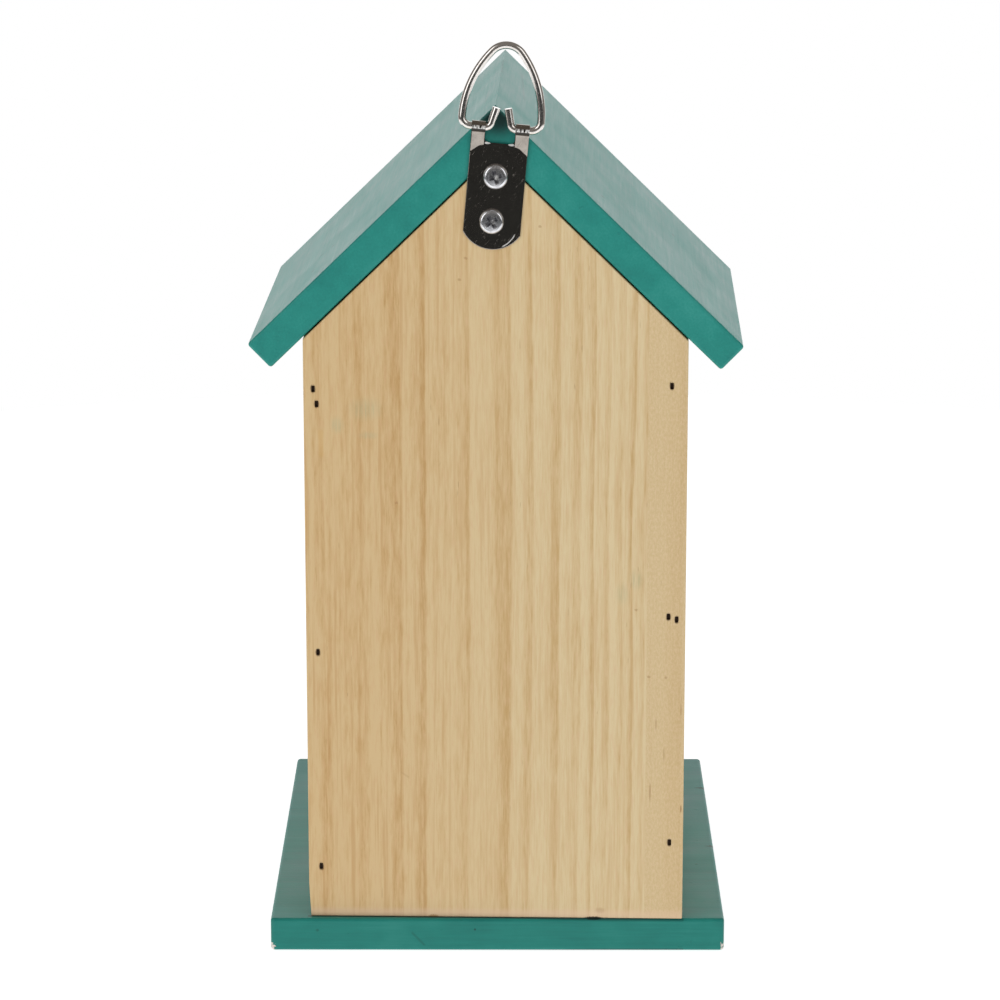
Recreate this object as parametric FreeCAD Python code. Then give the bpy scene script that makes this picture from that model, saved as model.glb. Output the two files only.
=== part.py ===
import FreeCAD, Part
import math
import os

from FreeCAD import Placement, Rotation, Vector

# Hanging bird feeder: a small wooden seed hopper under a lift-off gabled roof, on a ledged
# base with a feeding tray in front, hung by a wire ring from a steel strap on its back.
# Millimetres. Origin: on the base's underside, below the middle of the house. +Z is up, the
# tray is at the -Y side, the back board and its hanger face +Y. Left and right are as seen from
# the tray side.

# ---- Driving dimensions -------------------------------------------------------------------
BOARD = 10.0                  # thickness of the unpainted boards
BODY_WIDTH = 120.0
BODY_DEPTH = 115.0            # back board's outer face to the front gable's outer face
BASE_WIDTH = 146.0
BASE_DEPTH = 170.0
BASE_THICK = 10.8
BASE_CORNER_R = 1.3           # corners seen from above
BASE_SHIFT = (1.3, 1.5)       # the house was nailed down a little off the base's centre
BASE_TURN = 1.3               # and this many degrees out of square with it
PAINTED_EDGE_R = 1.0          # sanded edges of the painted boards
NATURAL_EDGE_R = 0.4          # sanded edges of the unpainted boards

ROOF_PITCH = math.radians(44.2)
ROOF_THICK = 10.4
ROOF_WIDTH = 154.8
ROOF_FRONT_OVERHANG = 15.0    # past the front gable
ROOF_BACK_SETBACK = 0.3       # lets the roof slide up behind the hanger strap
RIDGE_Z = 273.8               # outside of the ridge
GABLE_GAP = 0.6               # between roof and the gables' sloping edges, measured upright
SEAT_GAP = 0.1                # between roof and the side boards that carry it
CLEAT_HEIGHT = 30.0
CLEAT_GAP = 0.5               # between a cleat and the gable beside it

WORN_CORNER_DEPTH = 0.7       # sanded-down lower corner of the back board
WORN_CORNER_RUN = 11.0

FRONT_GABLE_BOTTOM_Z = 150.0
SEED_GAP = 18.0               # opening under the window
PANE_THICK = 2.0
PANE_TOP_Z = 180.0
GROOVE_WIDTH = 3.0
GROOVE_DEPTH = 3.0
GROOVE_SETBACK = 3.0          # from the side boards' front edges
PANE_SIDE_PLAY = 0.5

RAMP_THICK = 5.0
RAMP_TOP_Z = 50.0
RAMP_SLOPE = math.radians(33.0)

RAIL_HEIGHT = 13.2
RAIL_EDGE_R = 2.0
TRAY_LEDGE = 13.0             # base left clear in front of the tray

# Hanger, in its own frame: pin axis along X at the origin, strap hanging down, +Y outwards
HANGER_X = -1.7
HANGER_PIN_Z = 267.15
HANGER_TILT = 5.0             # degrees that the strap was fixed out of upright
STRAP_WIDTH = 17.8
STRAP_THICK = 0.5
STRAP_BOTTOM_H = -38.3
STRAP_SIDE_END_H = -33.3      # where the straight sides meet the rounded bottom
TAB_WIDTH = 4.3
TAB_LEAN = math.radians(8.0)
TAB_BEND_H = -6.0
TAB_BEND_R = 3.0
NOTCH_H = -5.0
NOTCH_R = 1.3
STRAP_HOLE_R = 2.0
STRAP_EDGE_R = 0.25           # rolled-over front edges of the stamping
SCREW_H = (-15.3, -29.3)
SCREW_ASIDE = 0.28            # the screws sit to one side of the strap's roomy holes
WIRE_R = 1.2
WIRE_PLAY = 0.05              # radial running clearance of the ring in the strap's loops
LOOP_END = math.radians(-120.0)

RING_HALF_WIDTH = 12.1        # all ring sizes are to the centre of the wire
RING_TOP_H = 25.6
RING_CORNER_R = 2.75
RING_APEX_R = 6.0
RING_END_BEND_R = 1.7
RING_END_TURN = math.radians(76.0)
RING_END_H = 6.2

SCREW_HEAD_R = 3.8
SCREW_HEAD_HEIGHT = 2.2
SCREW_DOME_RISE = 0.3         # the top is nearly flat
SCREW_RIM_R = 1.1
SCREW_SHANK_R = 1.6
SCREW_LENGTH = 9.5
SCREW_POINT = 2.5
RECESS_TOP = (4.8, 1.3)       # each wing of the cross recess at the top: length, width
RECESS_FLOOR = (2.2, 0.6)     # and at its floor
RECESS_DEPTH = 1.4
SCREW_TURN = (20.0, 38.0)     # degrees each cross recess stopped at

BRAD_HEAD = (2.1, 1.1, 0.7)   # T-head: length, width, thickness
BRAD_SHANK = (1.2, 1.0)
BRAD_LENGTH = 25.0
SHORT_BRAD_LENGTH = 20.0
BRAD_POINT = 1.5
BRAD_SET = 0.8                # heads driven below the surface
BACK_BRADS = ((56.9, 184.6), (55.9, 179.8), (56.3, 99.2), (56.0, 27.7),
              (-55.0, 186.1), (-54.6, 111.6), (-57.2, 110.7), (-55.7, 36.6))  # x, z
GABLE_BRAD_RISE = (12.0, 38.0)        # above the front gable's lower edge
RAMP_BRAD_SETBACK = (20.0, 45.0)      # in front of the back board
WALL_BRAD_SETBACK = (12.0, 40.0, 85.0)  # behind the side boards' front edges
FOOT_BRAD_X = (-30.0, 30.0)           # up through the base into the back board
RAIL_BRAD_SETBACK = (8.0, 20.0)       # in front of the side boards
FRONT_RAIL_BRAD_X = (-40.0, 0.0, 40.0)
RIDGE_BRAD_SETBACK = (15.0, 48.0, 81.0, 114.0)  # behind the roof's front edge

CUT_PAST = 1.0                # how far cutting solids run past a surface

# ---- Sizes that follow --------------------------------------------------------------------
BASE_SEAT = Placement(Vector(*BASE_SHIFT, 0), Rotation(Vector(0, 0, 1), BASE_TURN))
BACK_Y = BASE_DEPTH / 2
BACK_INNER_Y = BACK_Y - BOARD
FRONT_Y = BACK_Y - BODY_DEPTH
SIDE_FRONT_Y = FRONT_Y + BOARD
HALF_BODY = BODY_WIDTH / 2
HALF_INSIDE = HALF_BODY - BOARD
WALL_MID_X = HALF_BODY - BOARD / 2
TAN_PITCH = math.tan(ROOF_PITCH)
RIDGE_UNDER_Z = RIDGE_Z - ROOF_THICK / math.cos(ROOF_PITCH)
ROOF_BACK_Y = BACK_Y - ROOF_BACK_SETBACK
ROOF_FRONT_Y = FRONT_Y - ROOF_FRONT_OVERHANG
PANE_BOTTOM_Z = BASE_THICK + SEED_GAP
GROOVE_FRONT_Y = SIDE_FRONT_Y + GROOVE_SETBACK
PANE_FRONT_Y = GROOVE_FRONT_Y + (GROOVE_WIDTH - PANE_THICK) / 2
RAIL_TOP_Z = BASE_THICK + RAIL_HEIGHT
RAIL_FRONT_Y = -BASE_DEPTH / 2 + TRAY_LEDGE
RAIL_INNER_Y = RAIL_FRONT_Y + BOARD
LOOP_BORE_R = WIRE_R + WIRE_PLAY
LOOP_OUTER_R = LOOP_BORE_R + STRAP_THICK
HALF_STRAP = STRAP_WIDTH / 2
TAB_INNER_X = HALF_STRAP - TAB_WIDTH
# The strap's flat back lies this far in front of the pin axis once the tabs lean out.
PIN_STANDOFF = (LOOP_OUTER_R * math.cos(TAB_LEAN)
                + (LOOP_OUTER_R * math.sin(TAB_LEAN) - TAB_BEND_H) * math.tan(TAB_LEAN))
STRAP_FACE_Y = STRAP_THICK - PIN_STANDOFF
HANGER = Placement(Vector(HANGER_X, BACK_Y + PIN_STANDOFF, HANGER_PIN_Z),
                   Rotation(Vector(0, 1, 0), -HANGER_TILT))


# ---- Helpers ------------------------------------------------------------------------------
def block(x_range, y_range, z_range):
    """A box from its three ranges."""
    size = [high - low for low, high in (x_range, y_range, z_range)]
    return Part.makeBox(*size, Vector(x_range[0], y_range[0], z_range[0]))


def prism_along_y(outline, y_range):
    """Extrudes an (x, z) outline along Y."""
    points = [Vector(x, y_range[0], z) for x, z in outline]
    face = Part.Face(Part.makePolygon(points + points[:1]))
    return face.extrude(Vector(0, y_range[1] - y_range[0], 0))


def prism_along_x(outline, x_range):
    """Extrudes a (y, z) outline along X."""
    points = [Vector(x_range[0], y, z) for y, z in outline]
    face = Part.Face(Part.makePolygon(points + points[:1]))
    return face.extrude(Vector(x_range[1] - x_range[0], 0, 0))


def edge_runs_along(edge, axis):
    """True for a straight edge parallel to an axis."""
    if not isinstance(edge.Curve, Part.Line):
        return False
    return abs(abs(edge.tangentAt(edge.FirstParameter).dot(axis)) - 1) < 1e-6


def round_edges(shape, radius, chosen=lambda edge: True):
    """Rounds the chosen edges of a shape."""
    return shape.makeFillet(radius, [edge for edge in shape.Edges if chosen(edge)])


def mirror_x(shape):
    """The same shape on the other side of the middle plane."""
    return shape.mirror(Vector(0, 0, 0), Vector(1, 0, 0))


def roof_under_z(x):
    """Height of the roof's underside at a distance from the middle plane."""
    return RIDGE_UNDER_Z - abs(x) * TAN_PITCH


def on_both_sides(x, places):
    """Repeats (y, z) places at +x and -x."""
    return [(side * x, y, z) for side in (1, -1) for y, z in places]


# ---- Fasteners ----------------------------------------------------------------------------
class Brads:
    """A group of identical T-headed brads, with the holes that they make."""

    def __init__(self, places, direction, across, length=BRAD_LENGTH, set_depth=BRAD_SET):
        turn = Rotation(across, Vector(0, 0, 0), direction, "ZXY")
        self.solids = []
        self.holes = []
        for place in places:
            seat = Placement(Vector(*place), turn)
            self.solids.append(self.one_brad(length, set_depth, seat))
            self.holes.append(self.one_pocket(set_depth, seat))

    @staticmethod
    def one_brad(length, set_depth, seat):
        """One brad: a flat head across a pointed flat shank."""
        shank_x, shank_y = BRAD_SHANK
        head_x, head_y, head_z = BRAD_HEAD
        half = shank_x / 2
        end = set_depth + length
        outline = [(-half, set_depth), (half, set_depth), (half, end - BRAD_POINT),
                   (0, end), (-half, end - BRAD_POINT)]
        shank = prism_along_y(outline, (-shank_y / 2, shank_y / 2))
        head = block((-head_x / 2, head_x / 2), (-head_y / 2, head_y / 2),
                     (set_depth, set_depth + head_z))
        brad = head.fuse(shank).removeSplitter()
        return brad.transformed(seat.toMatrix())

    @staticmethod
    def one_pocket(set_depth, seat):
        """The pocket that a driven head leaves above itself."""
        head_x, head_y, head_z = BRAD_HEAD
        pocket = block((-head_x / 2, head_x / 2), (-head_y / 2, head_y / 2),
                       (-CUT_PAST, set_depth + head_z))
        return pocket.transformed(seat.toMatrix())

    def group(self):
        """All the brads as one part."""
        return Part.makeCompound(self.solids)

    def cut_from(self, board):
        """The board with its holes."""
        return board.cut(self.solids + self.holes)


def recess_wing():
    """Tapered block that cuts one wing pair of a screw's cross recess."""
    levels = ((SCREW_HEAD_HEIGHT - RECESS_DEPTH, RECESS_FLOOR), (SCREW_HEAD_HEIGHT, RECESS_TOP))
    sections = []
    for z, (length, width) in levels:
        corners = [Vector(x * length / 2, y * width / 2, z)
                   for x, y in ((-1, -1), (1, -1), (1, 1), (-1, 1))]
        sections.append(Part.makePolygon(corners + corners[:1]))
    return Part.makeLoft(sections, True, True)


def hanger_screw(height, turn):
    """Pan-headed screw with a cross recess, in the hanger's frame, driven towards -Y."""
    dome_r = (SCREW_HEAD_R ** 2 + SCREW_DOME_RISE ** 2) / (2 * SCREW_DOME_RISE)
    head = Part.makeCylinder(SCREW_HEAD_R, SCREW_HEAD_HEIGHT)
    dome = Part.makeSphere(dome_r, Vector(0, 0, SCREW_HEAD_HEIGHT - dome_r))
    rim_z = SCREW_HEAD_HEIGHT - SCREW_DOME_RISE
    head = round_edges(head.common(dome), SCREW_RIM_R,
                       lambda edge: abs(edge.CenterOfMass.z - rim_z) < 1e-3)
    wing = recess_wing()
    head = head.cut([wing, wing.rotated(Vector(0, 0, 0), Vector(0, 0, 1), 90)])
    shank_length = SCREW_LENGTH - SCREW_POINT
    shank = Part.makeCylinder(SCREW_SHANK_R, shank_length, Vector(0, 0, 0), Vector(0, 0, -1))
    point = Part.makeCone(SCREW_SHANK_R, 0.0, SCREW_POINT,
                          Vector(0, 0, -shank_length), Vector(0, 0, -1))
    screw = head.fuse([shank, point]).removeSplitter()
    facing_out = Rotation(Vector(1, 0, 0), -90).multiply(Rotation(Vector(0, 0, 1), turn))
    seat = Placement(Vector(SCREW_ASIDE, STRAP_FACE_Y, height), facing_out)
    return screw.transformed(HANGER.multiply(seat).toMatrix())


# ---- Boards -------------------------------------------------------------------------------
def base_board():
    """Ledged base, turned a little under the house."""
    board = block((-BASE_WIDTH / 2, BASE_WIDTH / 2), (-BASE_DEPTH / 2, BASE_DEPTH / 2),
                  (0, BASE_THICK))
    upright = Vector(0, 0, 1)
    board = round_edges(board, BASE_CORNER_R, lambda edge: edge_runs_along(edge, upright))
    board = round_edges(board, PAINTED_EDGE_R,
                        lambda edge: abs(edge.CenterOfMass.z - BASE_THICK / 2) > BASE_THICK / 3)
    return board.transformed(BASE_SEAT.toMatrix())


def gable_board(bottom_z, y_range):
    """Five-sided board whose sloping edges follow the roof."""
    side_top = roof_under_z(HALF_BODY) - GABLE_GAP
    outline = [(-HALF_BODY, bottom_z), (HALF_BODY, bottom_z), (HALF_BODY, side_top),
               (0, RIDGE_UNDER_Z - GABLE_GAP), (-HALF_BODY, side_top)]
    return round_edges(prism_along_y(outline, y_range), NATURAL_EDGE_R)


def back_board():
    """Rear gable, full height, with its worn lower corner."""
    board = gable_board(BASE_THICK, (BACK_INNER_Y, BACK_Y))
    worn = prism_along_y([(HALF_BODY - WORN_CORNER_DEPTH, BASE_THICK - CUT_PAST),
                          (HALF_BODY + CUT_PAST, BASE_THICK - CUT_PAST),
                          (HALF_BODY + CUT_PAST, BASE_THICK + WORN_CORNER_RUN),
                          (HALF_BODY, BASE_THICK + WORN_CORNER_RUN)],
                         (BACK_INNER_Y - CUT_PAST, BACK_Y + CUT_PAST))
    return board.cut(worn)


def right_side_board():
    """Side wall with a bevelled top and a blind groove for the window."""
    outline = [(HALF_INSIDE, BASE_THICK), (HALF_BODY, BASE_THICK),
               (HALF_BODY, roof_under_z(HALF_BODY) - SEAT_GAP),
               (HALF_INSIDE, roof_under_z(HALF_INSIDE) - SEAT_GAP)]
    board = prism_along_y(outline, (SIDE_FRONT_Y, BACK_INNER_Y))
    lengthwise = Vector(0, 1, 0)
    board = round_edges(board, NATURAL_EDGE_R, lambda edge: not edge_runs_along(edge, lengthwise))
    groove = block((HALF_INSIDE - CUT_PAST, HALF_INSIDE + GROOVE_DEPTH),
                   (GROOVE_FRONT_Y, GROOVE_FRONT_Y + GROOVE_WIDTH), (PANE_BOTTOM_Z, RIDGE_Z))
    return board.cut(groove)


def window_pane():
    """Clear sheet standing loose in the two grooves."""
    half_width = HALF_INSIDE + GROOVE_DEPTH - PANE_SIDE_PLAY
    return block((-half_width, half_width), (PANE_FRONT_Y, PANE_FRONT_Y + PANE_THICK),
                 (PANE_BOTTOM_Z, PANE_TOP_Z))


def ramp_top_z(y):
    """Height of the ramp's upper face."""
    return RAMP_TOP_Z - (BACK_INNER_Y - y) * math.tan(RAMP_SLOPE)


def seed_ramp():
    """Sloping board that brings the seed forward to the gap."""
    toe_y = BACK_INNER_Y - (RAMP_TOP_Z - BASE_THICK) / math.tan(RAMP_SLOPE)
    heel_y = toe_y + RAMP_THICK / math.sin(RAMP_SLOPE)
    outline = [(BACK_INNER_Y, RAMP_TOP_Z), (toe_y, BASE_THICK), (heel_y, BASE_THICK),
               (BACK_INNER_Y, RAMP_TOP_Z - RAMP_THICK / math.cos(RAMP_SLOPE))]
    return prism_along_x(outline, (-HALF_INSIDE, HALF_INSIDE))


def top_edge_of_rail(edge):
    return abs(edge.CenterOfMass.z - RAIL_TOP_Z) < 1e-6


def right_tray_rail():
    rail = block((HALF_INSIDE, HALF_BODY), (RAIL_INNER_Y, SIDE_FRONT_Y),
                 (BASE_THICK, RAIL_TOP_Z))
    lengthwise = Vector(0, 1, 0)
    return round_edges(rail, RAIL_EDGE_R,
                       lambda edge: top_edge_of_rail(edge) and edge_runs_along(edge, lengthwise))


def front_tray_rail():
    rail = block((-HALF_BODY, HALF_BODY), (RAIL_FRONT_Y, RAIL_INNER_Y),
                 (BASE_THICK, RAIL_TOP_Z))
    return round_edges(rail, RAIL_EDGE_R, top_edge_of_rail)


def right_roof_board():
    """Sloping board with a mitred ridge and a square-cut eave."""
    half_width = ROOF_WIDTH / 2
    eave_z = RIDGE_Z - half_width * TAN_PITCH
    eave_under = (half_width - ROOF_THICK * math.sin(ROOF_PITCH),
                  eave_z - ROOF_THICK * math.cos(ROOF_PITCH))
    outline = [(0, RIDGE_UNDER_Z), eave_under, (half_width, eave_z), (0, RIDGE_Z)]
    board = prism_along_y(outline, (ROOF_FRONT_Y, ROOF_BACK_Y))
    return round_edges(board, PAINTED_EDGE_R, lambda edge: edge.CenterOfMass.x > PAINTED_EDGE_R)


def roof_cleat(y_range):
    """Three-cornered block that keeps the loose roof from sliding off the gables."""
    bottom_z = RIDGE_UNDER_Z - CLEAT_HEIGHT
    half_width = CLEAT_HEIGHT / TAN_PITCH
    outline = [(-half_width, bottom_z), (half_width, bottom_z), (0, RIDGE_UNDER_Z)]
    return prism_along_y(outline, y_range)


# ---- Hanger -------------------------------------------------------------------------------
def strap_side_profile():
    """Strap seen from its side: flat plate, leaning tab, and a loop rolled outwards."""
    tangent = Vector(0, -math.cos(TAB_LEAN), math.sin(TAB_LEAN))
    down_tab = Vector(0, -math.sin(TAB_LEAN), -math.cos(TAB_LEAN))

    def on_circle(radius, angle):
        return Vector(0, radius * math.cos(angle), radius * math.sin(angle))

    def bend_point(y):
        """Where the tab's face on the given side meets the plate's face at y."""
        start = tangent * (LOOP_OUTER_R if y < STRAP_FACE_Y - STRAP_THICK / 2 else LOOP_BORE_R)
        travel = (y - start.y) / down_tab.y
        return start + down_tab * travel

    outer_start = tangent * LOOP_OUTER_R
    inner_start = tangent * LOOP_BORE_R
    middle = (math.pi - TAB_LEAN + LOOP_END) / 2
    back_y = -PIN_STANDOFF
    edges = [Part.LineSegment(bend_point(back_y), outer_start),
             Part.Arc(outer_start, on_circle(LOOP_OUTER_R, middle),
                      on_circle(LOOP_OUTER_R, LOOP_END)),
             Part.LineSegment(on_circle(LOOP_OUTER_R, LOOP_END), on_circle(LOOP_BORE_R, LOOP_END)),
             Part.Arc(on_circle(LOOP_BORE_R, LOOP_END), on_circle(LOOP_BORE_R, middle),
                      inner_start),
             Part.LineSegment(inner_start, bend_point(STRAP_FACE_Y)),
             Part.LineSegment(bend_point(STRAP_FACE_Y), Vector(0, STRAP_FACE_Y, STRAP_BOTTOM_H)),
             Part.LineSegment(Vector(0, STRAP_FACE_Y, STRAP_BOTTOM_H),
                              Vector(0, back_y, STRAP_BOTTOM_H)),
             Part.LineSegment(Vector(0, back_y, STRAP_BOTTOM_H), bend_point(back_y))]
    return Part.Face(Part.Wire([edge.toShape() for edge in edges]))


def strap_outline_cutter():
    """Everything inside the strap's outline seen from behind: rounded foot and notch."""
    corner = Vector(HALF_STRAP, 0, STRAP_SIDE_END_H)
    foot = Part.Arc(Vector(-HALF_STRAP, 0, STRAP_SIDE_END_H), Vector(0, 0, STRAP_BOTTOM_H), corner)
    top = LOOP_OUTER_R + CUT_PAST
    sides = [corner, Vector(HALF_STRAP, 0, top), Vector(-HALF_STRAP, 0, top),
             Vector(-HALF_STRAP, 0, STRAP_SIDE_END_H)]
    outline = Part.Wire([foot.toShape()] + Part.makePolygon(sides).Edges)
    depth = 4 * PIN_STANDOFF
    whole = Part.Face(outline).extrude(Vector(0, depth, 0))
    notch = block((-TAB_INNER_X, TAB_INNER_X), (0, depth), (NOTCH_H, top + CUT_PAST))
    outwards = Vector(0, 1, 0)
    notch = round_edges(notch, NOTCH_R, lambda edge: edge_runs_along(edge, outwards)
                        and edge.CenterOfMass.z < 0)
    return whole.cut(notch).translated(Vector(0, -2 * PIN_STANDOFF, 0))


def front_edge_of_plate(edge):
    """The flat plate's outline on its outer face, below the bend."""
    ends = [vertex.Point for vertex in edge.Vertexes]
    on_face = all(abs(point.y - STRAP_FACE_Y) < 1e-4 for point in ends)
    along_bend = isinstance(edge.Curve, Part.Line) and abs(edge.tangentAt(0).x) > 0.5
    return on_face and not along_bend


def hanger_strap():
    """Sheet-steel strap with two holes and two tabs rolled into loops."""
    sheet = strap_side_profile().extrude(Vector(STRAP_WIDTH, 0, 0))
    sheet.translate(Vector(-HALF_STRAP, 0, 0))
    across = Vector(1, 0, 0)
    sheet = round_edges(sheet, TAB_BEND_R, lambda edge: edge_runs_along(edge, across)
                        and abs(edge.CenterOfMass.z - TAB_BEND_H) < STRAP_THICK)
    strap = sheet.common(strap_outline_cutter())
    strap = round_edges(strap, STRAP_EDGE_R, front_edge_of_plate)
    for height in SCREW_H:
        hole = Part.makeCylinder(STRAP_HOLE_R, 2 * PIN_STANDOFF, Vector(0, 0, height),
                                 Vector(0, -1, 0))
        strap = strap.cut(hole)
    return strap.transformed(HANGER.toMatrix())


def ring_half_path():
    """Centre line of the +X half of the ring, from the apex down to its turned-up end."""
    corner_h = RING_CORNER_R
    rise = RING_TOP_H - corner_h - RING_APEX_R
    side_r = ((rise ** 2 + RING_HALF_WIDTH ** 2 - RING_APEX_R ** 2)
              / (2 * (RING_HALF_WIDTH - RING_APEX_R)))
    apex_centre = Vector(0, 0, RING_TOP_H - RING_APEX_R)
    side_centre = Vector(RING_HALF_WIDTH - side_r, 0, corner_h)
    join_angle = math.atan2(rise, side_r - RING_HALF_WIDTH)

    def around(centre, radius, angle):
        return centre + Vector(math.cos(angle), 0, math.sin(angle)) * radius

    def arc(centre, radius, start, end):
        return Part.Arc(around(centre, radius, start), around(centre, radius, (start + end) / 2),
                        around(centre, radius, end))

    corner_centre = Vector(RING_HALF_WIDTH - RING_CORNER_R, 0, RING_CORNER_R)
    end_centre = Vector(TAB_INNER_X + WIRE_PLAY, 0, RING_END_BEND_R)
    end_angle = -math.pi / 2 - RING_END_TURN
    bend_end = around(end_centre, RING_END_BEND_R, end_angle)
    end_direction = Vector(math.sin(end_angle), 0, -math.cos(end_angle))
    tip = bend_end + end_direction * ((RING_END_H - bend_end.z) / end_direction.z)
    quarter = math.pi / 2
    return [arc(apex_centre, RING_APEX_R, quarter, join_angle),
            arc(side_centre, side_r, join_angle, 0),
            arc(corner_centre, RING_CORNER_R, 0, -quarter),
            Part.LineSegment(around(corner_centre, RING_CORNER_R, -quarter),
                             around(end_centre, RING_END_BEND_R, -quarter)),
            arc(end_centre, RING_END_BEND_R, -quarter, end_angle),
            Part.LineSegment(bend_end, tip)]


def hanging_ring():
    """Bent-wire ring: swept from the apex down each side, then joined."""
    path = Part.Wire([edge.toShape() for edge in ring_half_path()])
    section = Part.Wire(Part.makeCircle(WIRE_R, Vector(0, 0, RING_TOP_H), Vector(1, 0, 0)))
    half = path.makePipeShell([section], True, True)
    ring = half.fuse(mirror_x(half)).removeSplitter()
    return ring.transformed(HANGER.toMatrix())


# ---- Assembly -----------------------------------------------------------------------------
def build_fasteners():
    """Every group of brads, by name."""
    x_axis = Vector(1, 0, 0)
    y_axis = Vector(0, 1, 0)
    z_axis = Vector(0, 0, 1)
    back = [(x, BACK_Y, z) for x, z in BACK_BRADS]
    gable = [(side * WALL_MID_X, FRONT_Y, FRONT_GABLE_BOTTOM_Z + rise) for side in (1, -1)
             for rise in GABLE_BRAD_RISE]
    ramp = []
    for setback in RAMP_BRAD_SETBACK:
        y = BACK_INNER_Y - setback
        ramp.append((y, ramp_top_z(y) - RAMP_THICK / 2 / math.cos(RAMP_SLOPE)))
    base = on_both_sides(WALL_MID_X, [(SIDE_FRONT_Y + setback, 0)
                                      for setback in WALL_BRAD_SETBACK])
    base += [(x, BACK_Y - BOARD / 2, 0) for x in FOOT_BRAD_X]
    tray_base = on_both_sides(WALL_MID_X, [(SIDE_FRONT_Y - setback, 0)
                                           for setback in RAIL_BRAD_SETBACK])
    tray_base += [(x, RAIL_FRONT_Y + BOARD / 2, 0) for x in FRONT_RAIL_BRAD_X]
    tray_corner = on_both_sides(WALL_MID_X, [(RAIL_FRONT_Y, BASE_THICK + RAIL_HEIGHT / 2)])
    # The ridge brads go square through the left board's top into the right board.
    down_left = Vector(-math.cos(ROOF_PITCH), 0, -math.sin(ROOF_PITCH)) * (ROOF_THICK / 2)
    into_ridge = Vector(math.sin(ROOF_PITCH), 0, -math.cos(ROOF_PITCH))
    ridge = [(down_left.x, ROOF_FRONT_Y + setback, RIDGE_Z + down_left.z)
             for setback in RIDGE_BRAD_SETBACK]
    return {
        "back_board_brads": Brads(back, -y_axis, z_axis),
        "front_gable_brads": Brads(gable, y_axis, z_axis),
        "base_brads": Brads(base, z_axis, y_axis),
        "tray_base_brads": Brads(tray_base, z_axis, y_axis, SHORT_BRAD_LENGTH),
        "tray_corner_brads": Brads(tray_corner, y_axis, z_axis),
        "left_ramp_brads": Brads([(-HALF_BODY, y, z) for y, z in ramp], x_axis, y_axis),
        "right_ramp_brads": Brads([(HALF_BODY, y, z) for y, z in ramp], -x_axis, y_axis),
        "ridge_brads": Brads(ridge, into_ridge, y_axis, SHORT_BRAD_LENGTH, 0.0),
    }


def build_parts():
    """Every part by name, with its screw and brad holes cut."""
    rear_cleat_y = BACK_INNER_Y - CLEAT_GAP
    front_cleat_y = SIDE_FRONT_Y + CLEAT_GAP
    parts = {
        "base_board": base_board(),
        "back_board": back_board(),
        "left_side_board": mirror_x(right_side_board()),
        "right_side_board": right_side_board(),
        "front_gable_board": gable_board(FRONT_GABLE_BOTTOM_Z, (FRONT_Y, SIDE_FRONT_Y)),
        "window_pane": window_pane(),
        "seed_ramp": seed_ramp(),
        "left_tray_rail": mirror_x(right_tray_rail()),
        "right_tray_rail": right_tray_rail(),
        "front_tray_rail": front_tray_rail(),
        "left_roof_board": mirror_x(right_roof_board()),
        "right_roof_board": right_roof_board(),
        "rear_roof_cleat": roof_cleat((rear_cleat_y - BOARD, rear_cleat_y)),
        "front_roof_cleat": roof_cleat((front_cleat_y, front_cleat_y + BOARD)),
        "hanger_strap": hanger_strap(),
        "hanging_ring": hanging_ring(),
        "upper_hanger_screw": hanger_screw(SCREW_H[0], SCREW_TURN[0]),
        "lower_hanger_screw": hanger_screw(SCREW_H[1], SCREW_TURN[1]),
    }
    for screw in ("upper_hanger_screw", "lower_hanger_screw"):
        parts["back_board"] = parts["back_board"].cut(parts[screw])
    held_by = {
        "back_board_brads": ("back_board", "left_side_board", "right_side_board"),
        "front_gable_brads": ("front_gable_board", "left_side_board", "right_side_board"),
        "base_brads": ("base_board", "back_board", "left_side_board", "right_side_board"),
        "tray_base_brads": ("base_board", "left_tray_rail", "right_tray_rail",
                            "front_tray_rail"),
        "tray_corner_brads": ("front_tray_rail", "left_tray_rail", "right_tray_rail"),
        "left_ramp_brads": ("left_side_board", "seed_ramp"),
        "right_ramp_brads": ("right_side_board", "seed_ramp"),
        "ridge_brads": ("left_roof_board", "right_roof_board"),
    }
    for name, brads in build_fasteners().items():
        for board in held_by[name]:
            parts[board] = brads.cut_from(parts[board])
        parts[name] = brads.group()
    return parts


def main():
    os.makedirs("parts", exist_ok=True)
    for name, shape in build_parts().items():
        shape.exportStep(os.path.join("parts", name + ".step"))
        box = shape.BoundBox
        print(f"{name:22s} solids {len(shape.Solids)}  valid {shape.isValid()}  "
              f"volume {shape.Volume:10.2f}  z {box.ZMin:7.2f} to {box.ZMax:7.2f}")


main()
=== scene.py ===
import math

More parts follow.
